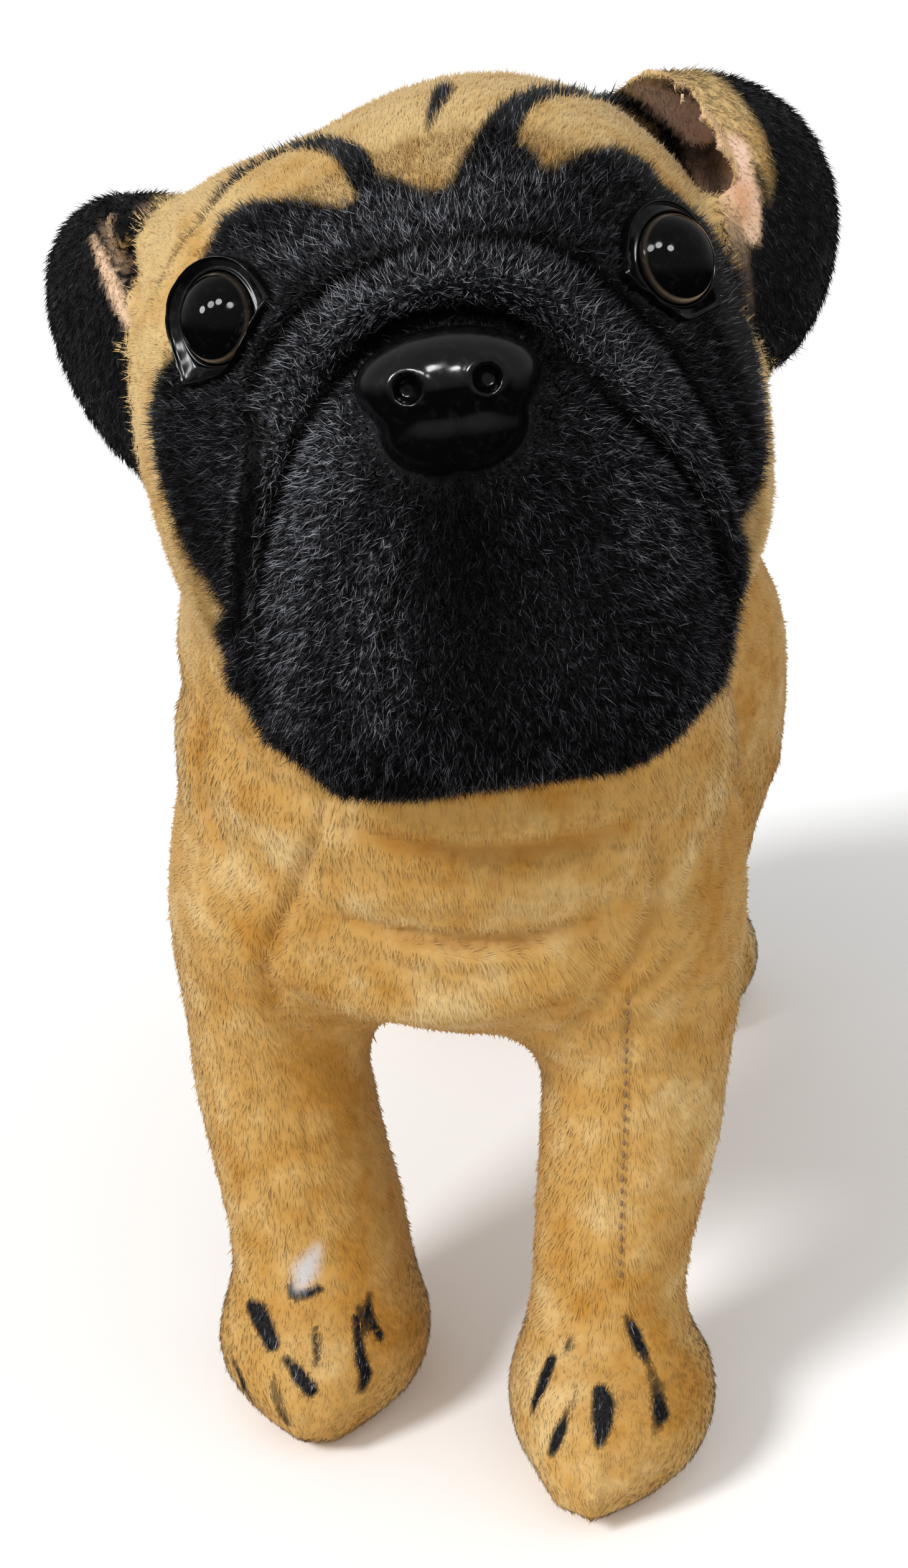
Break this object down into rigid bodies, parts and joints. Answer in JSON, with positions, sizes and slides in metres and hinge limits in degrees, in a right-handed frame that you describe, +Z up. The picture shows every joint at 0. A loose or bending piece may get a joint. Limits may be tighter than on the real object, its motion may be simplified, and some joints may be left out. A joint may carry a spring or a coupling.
{
  "type": "plush toy pug",
  "caption": "Stuffed plush pug toy that stands on straight legs and looks up, with a black mask, plastic nose and eyes, folded ears and a curled tail.",
  "frame": {"origin": "on the floor, under the middle of the toy's bounding box", "axes": "+X to the toy's left, +Y towards its tail, +Z up; it faces -Y"},
  "size_m": [0.1667, 0.3217, 0.3261],
  "materials": {
    "fawn_plush": "short soft pile",
    "black_plush": "short soft pile",
    "ear_plush": "short soft pile",
    "black_plastic": "glossy"
  },
  "bodies": {
    "root": {"head": "fawn_plush", "face": "black_plush", "nose": "black_plastic", "eye_right": "black_plastic", "eye_left": "black_plastic", "eyelids_right": "black_plastic", "eyelids_left": "black_plastic", "ear_right": "ear_plush", "ear_left": "ear_plush", "neck": "fawn_plush", "torso": "fawn_plush", "leg_front_right": "fawn_plush", "leg_front_left": "fawn_plush", "leg_hind_right": "fawn_plush", "leg_hind_left": "fawn_plush", "paw_front_right": "fawn_plush", "paw_front_left": "fawn_plush", "paw_hind_right": "fawn_plush", "paw_hind_left": "fawn_plush", "tail": "fawn_plush"}
  },
  "joints": []
}
